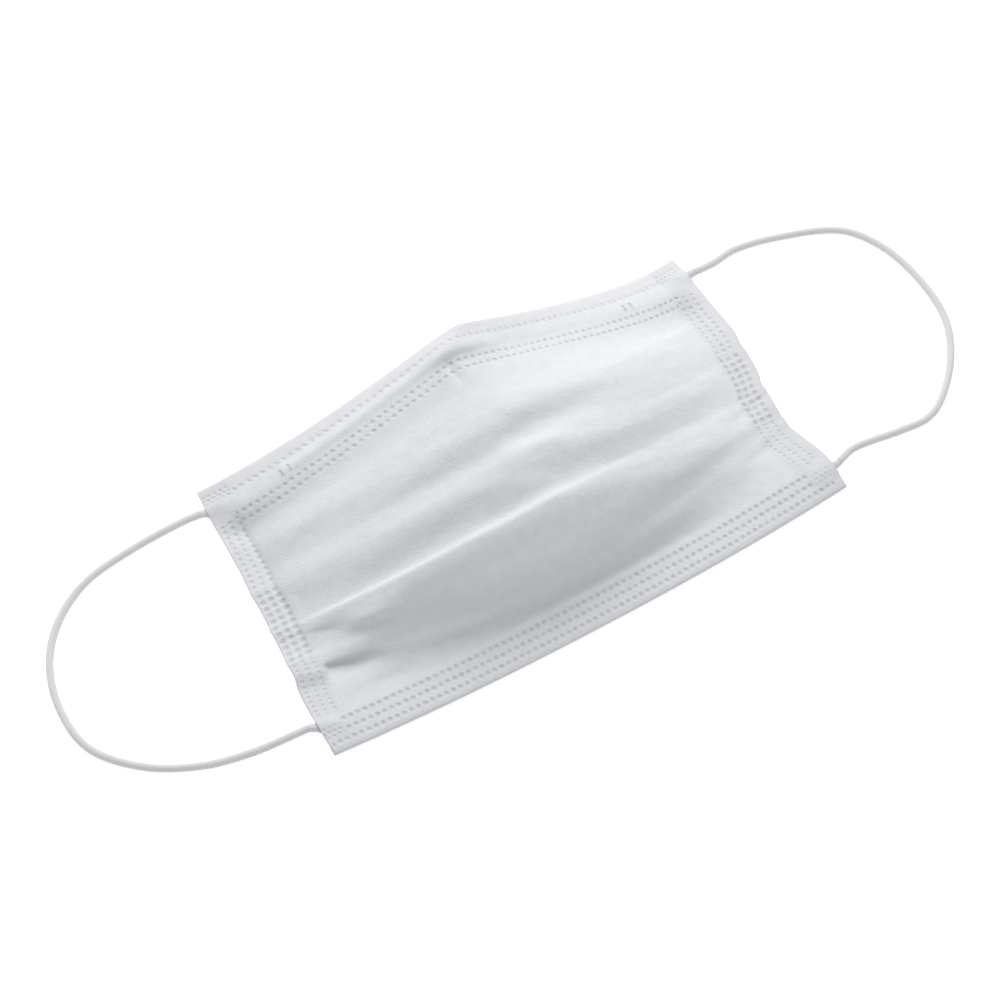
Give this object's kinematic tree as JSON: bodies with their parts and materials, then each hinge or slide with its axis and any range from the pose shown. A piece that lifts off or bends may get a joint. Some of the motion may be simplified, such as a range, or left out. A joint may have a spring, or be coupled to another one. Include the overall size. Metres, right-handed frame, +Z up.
{
  "type": "surgical face mask",
  "caption": "Pleated three-ply face mask lying with its outer side up, with a nose wire in its top channel and soft round elastic ear loops.",
  "frame": {"origin": "on the surface that the mask lies on, under the middle of its panel", "axes": "+X from the left ear to the right ear as the mask lies with its outer side up, +Y from the chin edge to the nose edge, +Z up, out of the outer side"},
  "size_m": [0.2992, 0.0982, 0.0355],
  "materials": {
    "nonwoven": "matte white non-woven",
    "elastic": "soft matte knitted elastic",
    "wire": "satin"
  },
  "bodies": {
    "root": {"panel": "nonwoven", "top_hem": "nonwoven", "bottom_hem": "nonwoven", "nose_wire": "wire", "ear_loop_left": "elastic", "ear_loop_right": "elastic", "loop_end_left_top": "elastic", "loop_end_left_bottom": "elastic", "loop_end_right_top": "elastic", "loop_end_right_bottom": "elastic"}
  },
  "joints": []
}
